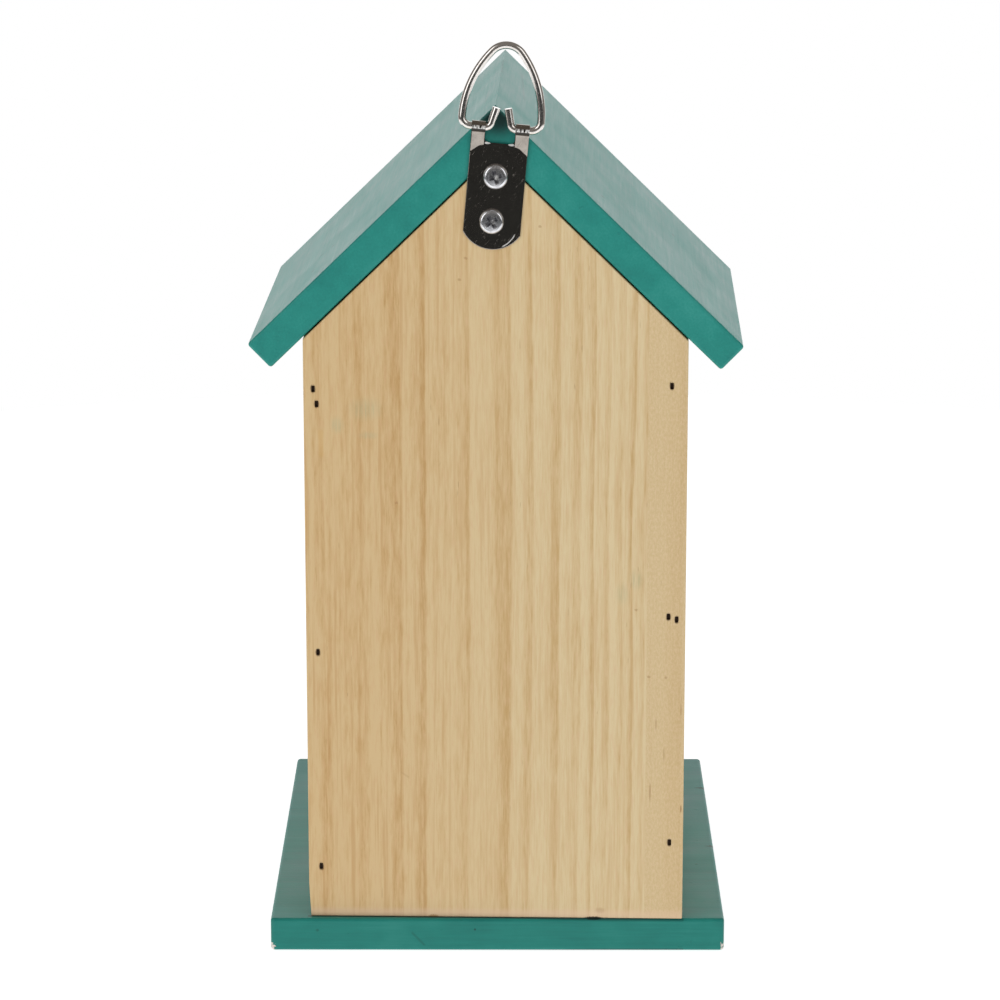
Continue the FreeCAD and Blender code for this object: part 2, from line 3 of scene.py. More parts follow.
import bpy
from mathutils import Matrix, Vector


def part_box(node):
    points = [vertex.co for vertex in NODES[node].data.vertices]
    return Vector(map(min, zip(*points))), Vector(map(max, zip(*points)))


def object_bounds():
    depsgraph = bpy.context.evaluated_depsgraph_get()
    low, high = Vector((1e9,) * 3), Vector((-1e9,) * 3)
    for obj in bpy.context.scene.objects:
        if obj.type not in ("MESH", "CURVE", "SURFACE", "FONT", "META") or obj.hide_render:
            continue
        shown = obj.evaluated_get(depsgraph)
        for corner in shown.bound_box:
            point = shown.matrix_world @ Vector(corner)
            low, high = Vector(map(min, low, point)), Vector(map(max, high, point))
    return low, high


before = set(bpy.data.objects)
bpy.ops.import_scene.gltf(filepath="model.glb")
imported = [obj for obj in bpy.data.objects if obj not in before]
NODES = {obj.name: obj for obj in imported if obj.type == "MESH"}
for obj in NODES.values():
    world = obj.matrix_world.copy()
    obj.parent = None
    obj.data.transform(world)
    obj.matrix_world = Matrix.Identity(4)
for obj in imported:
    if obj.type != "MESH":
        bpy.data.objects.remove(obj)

# A wooden bird feeder with a teal roof and base, seen from behind. Object coordinates are the
# feeder's own frame in metres; the materials work in millimetres of it.
CAD_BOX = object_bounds()
MM = 0.001


# ---- Node trees ---------------------------------------------------------------------------
class Tree:
    """Short calls that build a shader's node tree."""

    def __init__(self, owner):
        owner.use_nodes = True
        self.tree = owner.node_tree
        self.tree.nodes.clear()

    def add(self, kind, inputs=None, **settings):
        node = self.tree.nodes.new("ShaderNode" + kind)
        for name, value in settings.items():
            setattr(node, name, value)
        for name, value in (inputs or {}).items():
            self.feed(node.inputs[name], value)
        return node

    def feed(self, socket, value):
        if isinstance(value, bpy.types.NodeSocket):
            self.tree.links.new(value, socket)
        elif value is not None:
            socket.default_value = value

    def math(self, operation, *values, clamp=False):
        node = self.add("Math", operation=operation, use_clamp=clamp)
        for socket, value in zip(node.inputs, values):
            self.feed(socket, value)
        return node.outputs[0]

    def total(self, *values):
        result = values[0]
        for value in values[1:]:
            result = self.math("ADD", result, value)
        return result

    def scaled(self, value, factor, offset=0.0):
        return self.math("MULTIPLY_ADD", value, factor, offset)

    def between(self, value, low, high, start=0.0, end=1.0, smooth=True):
        """Maps low..high to start..end and holds it outside."""
        kind = "SMOOTHSTEP" if smooth else "LINEAR"
        node = self.add("MapRange", interpolation_type=kind)
        for socket, number in zip(node.inputs, (value, low, high, start, end)):
            self.feed(socket, number)
        return node.outputs[0]

    def mix(self, factor, first, second, blend="MIX"):
        node = self.add("Mix", data_type="RGBA", blend_type=blend)
        self.feed(node.inputs[0], factor)
        self.feed(node.inputs[6], first)
        self.feed(node.inputs[7], second)
        return node.outputs[2]

    def vector(self, x, y, z):
        return self.add("CombineXYZ", {"X": x, "Y": y, "Z": z}).outputs[0]

    def stretched(self, coordinates, factors):
        """A vector of three coordinates, each scaled by its own factor."""
        return self.vector(*[self.scaled(value, factor)
                             for value, factor in zip(coordinates, factors)])

    def noise(self, vector, scale=1.0, detail=2.0, roughness=0.5, distortion=0.0):
        node = self.add("TexNoise", {"Vector": vector, "Scale": scale, "Detail": detail,
                                     "Roughness": roughness, "Distortion": distortion})
        return node.outputs[0]

    def ramp(self, factor, stops):
        """Colour ramp from (place, colour) stops."""
        node = self.add("ValToRGB", {"Fac": factor})
        elements = node.color_ramp.elements
        while len(elements) < len(stops):
            elements.new(0.5)
        for element, (place, colour) in zip(elements, stops):
            element.position = place
            element.color = colour
        return node.outputs[0]

    def curve(self, value, points):
        """Straight-line curve through (x, y) points from 0 to 1."""
        node = self.add("FloatCurve", {"Value": value})
        made = node.mapping.curves[0].points
        while len(made) < len(points):
            made.new(0.5, 0.5)
        for point, place in zip(made, points):
            point.location = place
            point.handle_type = "VECTOR"
        node.mapping.update()
        return node.outputs[0]

    def place(self):
        """Object coordinates in millimetres, as a dictionary of X, Y and Z."""
        coordinates = self.add("TexCoord")
        scaled = self.add("VectorMath", {0: coordinates.outputs["Object"], 3: 1 / MM},
                          operation="SCALE")
        split = self.add("SeparateXYZ", {0: scaled.outputs[0]})
        return {axis: split.outputs[axis] for axis in "XYZ"}

    def point(self, place):
        return self.vector(place["X"], place["Y"], place["Z"])

    def facing(self, axis):
        """How squarely the surface faces along an axis, 0 to 1."""
        coordinates = self.add("TexCoord")
        split = self.add("SeparateXYZ", {0: coordinates.outputs["Normal"]})
        return self.math("ABSOLUTE", split.outputs[axis])

    def spot(self, first, second, centre, size, soft=0.35):
        """A soft-edged ellipse: its middle and half-widths in mm along two coordinates."""
        offsets = [self.scaled(value, 1 / reach, -middle / reach)
                   for value, middle, reach in zip((first, second), centre, size)]
        distance = self.add("VectorMath", {0: self.vector(offsets[0], offsets[1], 0.0)},
                            operation="LENGTH").outputs["Value"]
        return self.between(distance, 1 - soft, 1 + soft, 1.0, 0.0)

    def stroke(self, first, second, start, end, half_width):
        """A soft-edged straight mark from start to end, in mm along two coordinates."""
        run = Vector(end) - Vector(start)
        length = run.length
        along = self.total(self.scaled(first, run.x / length), self.scaled(second, run.y / length),
                           -(start[0] * run.x + start[1] * run.y) / length)
        off = self.total(self.scaled(first, -run.y / length), self.scaled(second, run.x / length),
                         (start[0] * run.y - start[1] * run.x) / length)
        line = self.between(self.math("ABSOLUTE", off), 0.5 * half_width, 1.5 * half_width,
                            1.0, 0.0)
        ends = self.math("ABSOLUTE", self.total(along, -length / 2))
        inside = self.between(ends, length / 2 - half_width, length / 2 + half_width, 1.0, 0.0)
        return self.math("MULTIPLY", line, inside)

    def strongest(self, masks):
        result = masks[0]
        for mask in masks[1:]:
            result = self.math("MAXIMUM", result, mask)
        return result

    def bump(self, height, distance, strength=1.0, under=None):
        node = self.add("Bump", {"Height": height, "Distance": distance, "Strength": strength})
        if under is not None:
            self.feed(node.inputs["Normal"], under)
        return node.outputs[0]

    def finish_surface(self, colour, roughness, normal, **constants):
        """Principled surface; the keyword arguments are constants on its own sockets."""
        shader = self.add("BsdfPrincipled", {"Base Color": colour, "Roughness": roughness,
                                             "Normal": normal})
        for name, value in constants.items():
            shader.inputs[name.replace("_", " ")].default_value = value
        output = self.add("OutputMaterial")
        self.tree.links.new(shader.outputs[0], output.inputs[0])
        return shader


def new_material(name):
    material = bpy.data.materials.new(name)
    return material, Tree(material)


def rgb(red, green, blue):
    return (red, green, blue, 1.0)


# ---- Wood ---------------------------------------------------------------------------------
PINE_LIGHT = rgb(0.800, 0.630, 0.370)
PINE_MIDDLE = rgb(0.745, 0.550, 0.298)
PINE_DARK = rgb(0.620, 0.400, 0.170)
PINE_PINK = rgb(0.770, 0.530, 0.310)
PINE_FLECK = rgb(0.680, 0.455, 0.225)
STRIP_PINK = rgb(0.785, 0.580, 0.345)
STRIP_FLECK = rgb(0.690, 0.500, 0.252)
PINE_RESIN = rgb(0.36, 0.17, 0.06)
PINE_END = rgb(0.56, 0.39, 0.2)
# How fast each pattern changes across, along and into a board, per mm.
BEND = (0.021, 0.0085, 0.03)        # slow wander of the growth rings
RIPPLE = (0.11, 0.022, 1.0)
FIBRE = (2.4, 0.10, 2.4)
STREAK = (0.42, 0.006, 0.42)
PATCH = (0.05, 0.014, 0.05)
MOTTLE = (0.95, 0.11, 0.85)
THREAD = (0.80, 0.016, 0.80)
STIPPLE = (1.9, 0.8, 1.0)
CANAL = (1.9, 0.16, 1.9)
PORE = (4.0, 4.0, 0.2)              # across, into and along, on the end grain


def growth_rings(tree, across, along, depth, width, edges, wander, lean, face):
    """Ring coordinate over a board: its whole part counts rings, its fraction grows to the
    dark late wood at each ring's edge. Edges are distances in mm across the board's face,
    which is at the given depth."""
    grain = (across, along, depth)
    bend = tree.noise(tree.stretched(grain, BEND), 1.0, 2.0, 0.5)
    ripple = tree.noise(tree.stretched(grain, RIPPLE), 1.0, 2.0, 0.6)
    growing = tree.between(across, 0.25 * width, 0.95 * width, 0.35, 1.0)
    shift = tree.total(tree.scaled(bend, wander, -wander / 2), tree.scaled(ripple, 1.4, -0.7))
    shifted = tree.math("MULTIPLY_ADD", shift, growing, across)
    share = tree.scaled(shifted, 1 / width)
    points = [(0.0, 0.0)]
    points += [(edge / width, (index + 1) / (len(edges) + 1)) for index, edge in enumerate(edges)]
    points.append((1.0, 1.0))
    rings = tree.scaled(tree.curve(share, points), len(edges) + 1)
    return tree.math("MULTIPLY_ADD", tree.total(depth, -face), lean, rings)


def pine(name, along_axis, across_axis, depth_axis, width, edges, start, wander=5.0,
         lean=0.05, face=0.0, pink_from=None, tints=(rgb(1, 1, 1), rgb(1, 1, 1)), marks=None):
    """Bare sanded pine. The grain runs along one axis; across is measured from start,
    positive towards smaller coordinates if the width is negative. tints are for the first
    and last edge; marks is a function that adds one board's own marks to its colour."""
    material, tree = new_material(name)
    place = tree.place()
    along = place[along_axis]
    direction = 1.0 if width > 0 else -1.0
    width = abs(width)
    across = tree.scaled(place[across_axis], direction, -direction * start)
    depth = place[depth_axis]
    rings = growth_rings(tree, across, along, depth, width, edges, wander, lean, face)
    late = tree.math("FRACT", rings)
    ring_number = tree.math("FLOOR", rings)
    strength = tree.add("TexWhiteNoise", {"W": ring_number}, noise_dimensions="1D").outputs[0]
    band = tree.math("MULTIPLY", tree.between(late, 0.25, 0.93, 0.0, 1.0),
                     tree.scaled(strength, 0.75, 0.3))
    band = tree.math("MULTIPLY", band, tree.between(late, 0.90, 1.0, 1.0, 0.0))
    grain = (across, along, depth)
    fibre = tree.noise(tree.stretched(grain, FIBRE), 1.0, 3.0, 0.6)
    streak = tree.noise(tree.stretched(grain, STREAK), 1.0, 3.0, 0.55)
    patch = tree.noise(tree.stretched(grain, PATCH), 1.0, 2.0, 0.5)
    mottle_place = tree.stretched(grain, MOTTLE)
    mottle = tree.noise(mottle_place, 1.0, 4.0, 0.7)
    thread = tree.noise(tree.stretched(grain, THREAD), 1.0, 3.0, 0.6)
    # The wood's figure is livelier near the first edge.
    lively = tree.between(across, 0.2 * width, 0.5 * width, 1.7, 1.0)
    figure = tree.total(tree.scaled(streak, 1.05, -0.525), tree.scaled(mottle, 1.20, -0.60))
    tone = tree.total(tree.scaled(band, 0.66), tree.math("MULTIPLY", figure, lively),
                      tree.scaled(fibre, 1.10, -0.55), tree.scaled(patch, 0.45, -0.105))
    colour = tree.ramp(tone, [(0.0, PINE_LIGHT), (0.45, PINE_MIDDLE), (1.0, PINE_DARK)])
    blush = tree.noise(mottle_place, 1.7, 2.0, 0.6)
    colour = tree.mix(tree.between(blush, 0.50, 0.72, 0.0, 0.45), colour, PINE_PINK)
    threads = tree.math("MULTIPLY", tree.between(thread, 0.52, 0.68, 0.0, 0.42), lively)
    colour = tree.mix(threads, colour, PINE_FLECK)
    if pink_from is not None:
        edge = tree.total(across, tree.scaled(streak, 0.8, -0.4))
        flat_sawn = tree.between(edge, pink_from, pink_from + 0.35)
        stipple = tree.noise(tree.stretched(grain, STIPPLE), 1.0, 3.0, 0.75)
        pink = tree.mix(tree.between(stipple, 0.35, 0.62), STRIP_PINK, STRIP_FLECK)
        colour = tree.mix(tree.scaled(flat_sawn, 0.72), colour, pink)
    else:
        colour = tree.mix(tree.between(patch, 0.52, 0.8, 0.0, 0.4), colour, PINE_PINK)
    # Resin canals: short thin dark dashes along the grain.
    dash = tree.noise(tree.stretched(grain, CANAL), 1.0, 1.0, 0.4)
    canal = tree.math("MULTIPLY", tree.between(dash, 0.775, 0.84, 0.0, 0.45),
                      tree.between(patch, 0.42, 0.6))
    colour = tree.mix(canal, colour, PINE_RESIN)
    # End grain: darker, with the rings as fine lines.
    pore = tree.noise(tree.stretched((across, depth, along), PORE), 1.0, 2.0, 0.6)
    end_colour = tree.mix(tree.total(tree.scaled(band, 0.5), tree.scaled(pore, 0.5)),
                          PINE_MIDDLE, PINE_END)
    end_share = tree.between(tree.facing(along_axis), 0.6, 0.9)
    colour = tree.mix(end_share, colour, end_colour)
    tint = tree.mix(tree.between(across, 0.1 * width, 0.75 * width), *tints)
    colour = tree.mix(1.0, colour, tint, "MULTIPLY")
    if marks is not None:
        colour = marks(tree, place, fibre, colour)
    roughness = tree.total(tree.scaled(fibre, 0.16, 0.52), tree.scaled(band, -0.08))
    grain_height = tree.total(tree.scaled(fibre, 0.5), tree.scaled(band, 0.35),
                              tree.scaled(canal, -1.2))
    normal = tree.bump(grain_height, 0.00006, 0.55)
    tree.finish_surface(colour, roughness, normal, IOR=1.45, Specular_IOR_Level=0.35)
    return material


# Marks on the back board's rear face. Places are x, z in mm.
RESIN_STREAKS = (((-49.3, 53.5), 2.9, 0.55), ((-59.2, 47.9), 1.2, 0.75),
                 ((-51.0, 76.0), 2.0, 0.35), ((-53.6, 66.0), 2.2, 0.30),
                 ((-58.9, 81.0), 1.8, 0.35))          # place, half-length, strength
RESIN_SPECKS = ((-48.6, 91.8), (-54.0, 91.6), (31.2, 148.2), (-44.4, 113.9), (11.2, 219.5),
                (9.1, 226.2), (-13.8, 236.2))
BRAD_HOLES = ((56.9, 184.6), (55.9, 179.8), (56.3, 99.2), (56.0, 27.7),
              (-55.0, 186.1), (-54.6, 111.6), (-57.2, 110.7), (-55.7, 36.6))
HOLE_BROWN = rgb(0.10, 0.05, 0.025)
AMBER_STREAK = ((54.7, 171.5), (54.5, 163.0), 0.8)   # start, end, half-width
GOUGE = ((30.2, 59.6), (27.8, 57.9), 0.3)
BRUISED_SPOT = ((-33.6, 13.4), (1.4, 0.9))           # centre, half-widths
FOOT_CHIP = ((20.0, 11.0), (1.6, 0.6))
FOOT_GAP = ((-31.6, 10.9), (2.7, 0.45))
FOOT_Z = (12.2, 14.6)                                # the fresh wood fades out over these
PAINT_SMEARS = (((40.6, 178.4), (4.2, 2.9)), ((49.6, 173.2), (1.8, 2.2)),
                ((39.8, 169.9), (2.4, 1.0)), ((-44.3, 123.7), (1.8, 2.6)),
                ((-39.9, 119.0), (1.6, 3.0)))
SMEAR_GREEN = rgb(0.40, 0.46, 0.29)
BRUISE = rgb(0.42, 0.24, 0.10)
AMBER = rgb(0.66, 0.40, 0.13)
FRESH_WOOD = rgb(0.83, 0.60, 0.42)
SEAM_DARK = rgb(0.02, 0.012, 0.008)


def back_board_marks(tree, place, fibre, colour):
    """Resin, torn brad holes, bruises and smears on the back face."""
    wobble = tree.scaled(fibre, 1.0, -0.5)
    x = tree.math("ADD", place["X"], wobble)
    z = tree.math("ADD", place["Z"], wobble)
    smears = tree.strongest([tree.spot(x, z, centre, size, 0.7) for centre, size in PAINT_SMEARS])
    colour = tree.mix(tree.math("MULTIPLY", smears, tree.between(fibre, 0.35, 0.70, 0.08, 0.36)),
                      colour, SMEAR_GREEN)
    amber = tree.stroke(x, z, *AMBER_STREAK)
    colour = tree.mix(tree.scaled(amber, 0.30), colour, AMBER)
    resin = [tree.scaled(tree.spot(place["X"], z, centre, (0.24, reach)), strength)
             for centre, reach, strength in RESIN_STREAKS]
    resin += [tree.scaled(tree.spot(x, z, centre, (0.5, 0.4)), 0.4) for centre in RESIN_SPECKS]
    colour = tree.mix(tree.strongest(resin), colour, PINE_RESIN)
    torn_x = tree.math("ADD", place["X"], tree.scaled(wobble, 1.6))
    torn_z = tree.math("ADD", place["Z"], tree.scaled(wobble, 1.2))
    torn = [tree.spot(torn_x, torn_z, hole, (0.75, 1.25), 0.3) for hole in BRAD_HOLES]
    colour = tree.mix(tree.scaled(tree.strongest(torn), 0.8), colour, HOLE_BROWN)
    gouge = tree.scaled(tree.stroke(x, z, *GOUGE), 0.22)
    bruise = tree.scaled(tree.spot(x, z, *BRUISED_SPOT, 0.6), 0.45)
    colour = tree.mix(tree.strongest([gouge, bruise]), colour, BRUISE)
    foot = tree.between(z, *FOOT_Z, 1.0, 0.0)
    colour = tree.mix(tree.scaled(foot, 0.5), colour, FRESH_WOOD)
    chip = tree.spot(x, z, *FOOT_CHIP)
    colour = tree.mix(tree.scaled(chip, 0.8), colour, BRUISE)
    gap = tree.spot(x, z, *FOOT_GAP)
    return tree.mix(tree.scaled(gap, 0.95), colour, SEAM_DARK)


VENEER_FIGURE = (0.6, 0.03, 0.03)
VENEER_FIBRE = (4.0, 0.2, 0.2)


def plywood(name):
    """Ramp board: plain face veneer with its grain down the slope."""
    material, tree = new_material(name)
    place = tree.place()
    sheet = (place["X"], place["Y"], place["Z"])
    figure = tree.noise(tree.stretched(sheet, VENEER_FIGURE), 1.0, 4.0, 0.6, 0.6)
    fine = tree.noise(tree.stretched(sheet, VENEER_FIBRE), 1.0, 2.0, 0.6)
    layer = tree.noise(tree.vector(0.0, 0.0, tree.scaled(place["Z"], 0.9)), 1.0, 0.0, 0.0)
    face = tree.ramp(figure, [(0.3, rgb(0.72, 0.55, 0.34)), (0.55, rgb(0.66, 0.48, 0.28)),
                              (0.75, rgb(0.56, 0.38, 0.2))])
    ply = tree.mix(tree.between(layer, 0.45, 0.55), rgb(0.62, 0.45, 0.27), rgb(0.4, 0.27, 0.15))
    colour = tree.mix(tree.between(tree.facing("X"), 0.6, 0.9), face, ply)
    normal = tree.bump(fine, 0.00005, 0.5)
    tree.finish_surface(colour, tree.scaled(fine, 0.2, 0.5), normal, Specular_IOR_Level=0.35)
    return material


# ---- Paint --------------------------------------------------------------------------------
TEAL = rgb(0.017, 0.270, 0.220)
TEAL_DEEP = rgb(0.012, 0.212, 0.178)
TEAL_PALE = rgb(0.045, 0.335, 0.280)
BARE_UNDER_PAINT = rgb(0.78, 0.71, 0.66)
# Dark for the cracks and the marks, and also for painted shade and shadow on the paint.
CRACK_AND_SHADE_DARK = rgb(0.006, 0.028, 0.026)
# How fast the brush marks change along and across the stroke and upwards, per mm.
BRUSH_STROKE = (0.035, 1.3, 1.3)
BROAD_STROKE = (0.012, 0.16, 0.16)


def orange_peel(tree, place):
    """Fine unevenness of the paint's surface."""
    return tree.noise(tree.point(place), 1.5, 2.0, 0.5)


def teal_paint(name, stroke_axis, cross_axis, tint, gloss, chips=None, cracks=(), stains_and_shade=None):
    """Brushed teal paint on wood. chips is a function of the tree and the place that gives where it
    has come off, and the function after cracks one that gives where it is dark, from real marks and
    from painted shade.
    cracks are end-grain checks on a board's -X end: the x and y each starts from and its length."""
    material, tree = new_material(name)
    place = tree.place()
    board = (place[stroke_axis], place[cross_axis], place["Z"])
    stroke = tree.noise(tree.stretched(board, BRUSH_STROKE), 1.0, 3.0, 0.6, 0.15)
    broad = tree.noise(tree.stretched(board, BROAD_STROKE), 1.0, 2.0, 0.5)
    cloud = tree.noise(tree.point(place), 0.045, 3.0, 0.55, 0.4)
    peel = orange_peel(tree, place)
    speck = tree.noise(tree.point(place), 0.42, 1.0, 0.4)
    shade = tree.total(tree.scaled(stroke, 0.4), tree.scaled(cloud, 0.7),
                       tree.scaled(broad, 0.35), -0.25)
    colour = tree.ramp(shade, [(0.22, TEAL_DEEP), (0.5, TEAL), (0.85, TEAL_PALE)])
    pimple = tree.between(speck, 0.755, 0.80)
    colour = tree.mix(tree.scaled(pimple, 0.5), colour, TEAL_DEEP)
    colour = tree.mix(1.0, colour, tint, "MULTIPLY")
    # Darkening from real marks and from painted shade and shadow.
    if stains_and_shade is not None:
        colour = tree.mix(stains_and_shade(tree, place), colour, CRACK_AND_SHADE_DARK)
    height = tree.total(tree.scaled(stroke, 0.65), tree.scaled(broad, 1.0),
                        tree.scaled(peel, 0.32), tree.scaled(pimple, 0.9))
    roughness = tree.total(tree.scaled(stroke, 0.16, 0.24), tree.scaled(cloud, 0.18))
    if cracks:
        wiggle = tree.noise(tree.point(place), 0.5, 2.0, 0.5)
        for x, y, length in cracks:
            off_line = tree.math("ABSOLUTE", tree.total(place["Y"], -y,
                                                        tree.scaled(wiggle, 1.2, -0.6)))
            taper = tree.between(place["X"], x, x + length, 0.85, 0.0, smooth=False)
            inside = tree.math("LESS_THAN", off_line, taper)
            colour = tree.mix(inside, colour, CRACK_AND_SHADE_DARK)
            height = tree.math("MULTIPLY_ADD", inside, -6.0, height)
    if chips is not None:
        worn = chips(tree, place)
        colour = tree.mix(worn, colour, BARE_UNDER_PAINT)
        height = tree.math("MULTIPLY_ADD", worn, -1.5, height)
        roughness = tree.math("MULTIPLY_ADD", worn, 0.25, roughness)
    normal = tree.bump(height, 0.00012, 0.5)
    tree.finish_surface(colour, roughness, normal, IOR=1.5, Specular_IOR_Level=gloss)
    return material


BASE_CORNERS = ((72.3, 88.1), (-73.6, 84.8))        # x, y of the two rear ones
# Painted contact shadow on the base's top, along the house's rear face:
HOUSE_REAR_Y = 85.2                                        # the house's rear face on the base
CONTACT_SHADOW_HALF_LENGTH = 60.5
BASE_DENT = ((26.9, 6.2), (22.8, 1.8), 0.35)         # x, z of its ends, half-width
BASE_KNOCK = ((57.3, 6.9), (0.5, 0.5))               # x, z of its middle, half-widths
BASE_SPECK = ((6.6, 7.2), (0.35, 0.35))
BASE_GAP = ((-31.6, 10.7), (2.7, 0.35))
BASE_CRACKS = ((-70.9, -50.6, 4.4), (-72.4, 12.6, 3.6))
APEX_SHADE = ((-1.0, 272.0), (6.5, 7.5))             # painted shade on the rear ends, behind the ring, where it shadows the mitre
RIDGE_STREAKS = (((0.3, -19.0), (-0.2, 10.0), 0.20), ((-6.0, -27.0), (-7.6, 22.0), 0.16),
                 ((3.4, 30.0), (4.0, 52.0), 0.12), ((-12.0, 79.5), (-71.0, 76.0), 0.14),
                 ((14.0, 80.5), (70.0, 78.0), 0.12))     # start, end, strength
ROOF_SPECKS = ((-56.4, 2.2), (53.0, 42.6), (56.9, 38.1), (58.4, 58.0), (-33.0, 61.0))


def corner_chips(tree, place):
    """Paint knocked off the base's two lower rear corners, showing the wood."""
    patch = tree.noise(tree.point(place), 1.15, 3.0, 0.65)
    near_floor = tree.between(place["Z"], 1.0, 7.0, 1.0, 0.0)
    chips = []
    for x, y in BASE_CORNERS:
        distance = tree.math("ADD", tree.math("ABSOLUTE", tree.total(place["X"], -x)),
                             tree.math("ABSOLUTE", tree.total(place["Y"], -y)))
        near_edge = tree.between(distance, 0.3, 3.3, 1.0, 0.0)
        amount = tree.math("MULTIPLY", near_edge, near_floor)
        chips.append(tree.between(tree.total(tree.scaled(amount, 0.78), patch), 1.10, 1.17))
    return tree.strongest(chips)


def base_stains_and_shadow(tree, place):
    """Knocks in the rear edge, a dark gap over it, and a painted contact shadow on the base's top
    along the house's rear face.
    """
    x, z = place["X"], place["Z"]
    dent = tree.scaled(tree.stroke(x, z, *BASE_DENT), 0.28)
    knock = tree.scaled(tree.spot(x, z, *BASE_KNOCK), 0.35)
    speck = tree.scaled(tree.spot(x, z, *BASE_SPECK), 0.7)
    marks = tree.math("MULTIPLY", tree.strongest([knock, dent, speck]), tree.facing("Y"))
    gap = tree.math("MULTIPLY", tree.spot(x, z, *BASE_GAP),
                    tree.between(place["Y"], 83.0, 84.0))
    # Painted contact shadow: a dark line on the base's top along the house's rear face.
    off_shadow_line = tree.math("ABSOLUTE", tree.total(place["Y"], -HOUSE_REAR_Y))
    contact_shadow = tree.math("MULTIPLY", tree.between(off_shadow_line, 0.35, 0.75, 0.8, 0.0),
                     tree.between(tree.math("ABSOLUTE", x), CONTACT_SHADOW_HALF_LENGTH - 0.3,
                                  CONTACT_SHADOW_HALF_LENGTH + 0.3, 1.0, 0.0))
    return tree.strongest([marks, gap, tree.math("MULTIPLY", contact_shadow, tree.facing("Z"))])


def roof_stains_and_shade(tree, place):
    """Dark streaks and specks seen from above, and painted shade on the mitre behind the ring."""
    wobble = tree.scaled(orange_peel(tree, place), 0.8, -0.4)
    x = tree.math("ADD", place["X"], wobble)
    streaks = [tree.scaled(tree.stroke(x, place["Y"], start, end, 0.35), strength)
               for start, end, strength in RIDGE_STREAKS]
    specks = [tree.scaled(tree.spot(x, place["Y"], centre, (0.5, 0.9)), 0.5)
              for centre in ROOF_SPECKS]
    on_slopes = tree.between(tree.facing("Z"), 0.4, 0.6)
    marks = tree.math("MULTIPLY", tree.strongest(streaks + specks), on_slopes)
    # Painted shade: the roof boards' rear ends are darkened at the mitre, behind the ring.
    shade = tree.spot(place["X"], place["Z"], *APEX_SHADE, 0.55)
    shade = tree.math("MULTIPLY", tree.scaled(shade, 0.93), tree.facing("Y"))
    shade = tree.math("MULTIPLY", shade, tree.between(place["Y"], 0.0, 10.0))
    return tree.strongest([marks, shade])


# ---- Metal and plastic --------------------------------------------------------------------
def plated_metal(name, colour_clean, colour_dull, roughness, scratch_depth, details=None):
    """Bright plating with light scuffs and a little haze. details is a function that adds
    one part's own look: it returns the colour, the roughness and the underlying normal."""
    material, tree = new_material(name)
    place = tree.place()
    point = tree.point(place)
    haze = tree.noise(point, 0.5, 3.0, 0.6)
    slanted = tree.vector(tree.total(tree.scaled(place["X"], 3.0), tree.scaled(place["Z"], 2.2)),
                          place["Y"],
                          tree.total(tree.scaled(place["Z"], 0.25), tree.scaled(place["X"], -0.3)))
    scuff = tree.noise(slanted, 1.0, 3.0, 0.65)
    scratch = tree.between(scuff, 0.66, 0.70)
    colour = tree.mix(tree.between(haze, 0.35, 0.75), colour_clean, colour_dull)
    rough = tree.total(tree.scaled(haze, 0.10, roughness - 0.05), tree.scaled(scratch, 0.12))
    under = None
    if details is not None:
        colour, rough, under = details(tree, place, scuff, colour, rough)
    height = tree.total(tree.scaled(scuff, 0.3), tree.scaled(scratch, -0.8),
                        tree.scaled(haze, 0.4))
    normal = tree.bump(height, scratch_depth, 0.5, under)
    tree.finish_surface(colour, rough, normal, Metallic=1.0)
    return material


HANGER_X = -1.7
HANGER_PIN_Z = 267.15
HANGER_TILT = math.radians(5.0)
TAB_INNER = 4.6                     # from the strap's middle to the inside of a tab
TAB_TILT = 0.14                     # tangent of the tabs' backward lean
FOLD_SLOPE = 0.8                    # how fast the fold runs down towards the strap's edges
ARC_MIDDLE, ARC_R = (0.0, -30.3), 7.6   # a thin bright line beside the foot
# Painted light on the strap's knuckles: a brown reflection on top, white highlight dashes, and dark
# reflection and crease shade.
KNUCKLE_TOP_REFLECTION = rgb(0.26, 0.215, 0.17)
SCUFF_AND_HIGHLIGHT_WHITE = rgb(0.97, 0.97, 0.96)
KNUCKLE_DARK = rgb(0.02, 0.02, 0.02)


def hanger_directions(tree, place):
    """Distances across and up the tilted strap from the middle of its pin, in mm."""
    cosine, sine = math.cos(HANGER_TILT), math.sin(HANGER_TILT)
    x = tree.total(place["X"], -HANGER_X)
    z = tree.total(place["Z"], -HANGER_PIN_Z)
    across = tree.total(tree.scaled(x, cosine), tree.scaled(z, sine))
    rise = tree.total(tree.scaled(x, -sine), tree.scaled(z, cosine))
    return across, rise


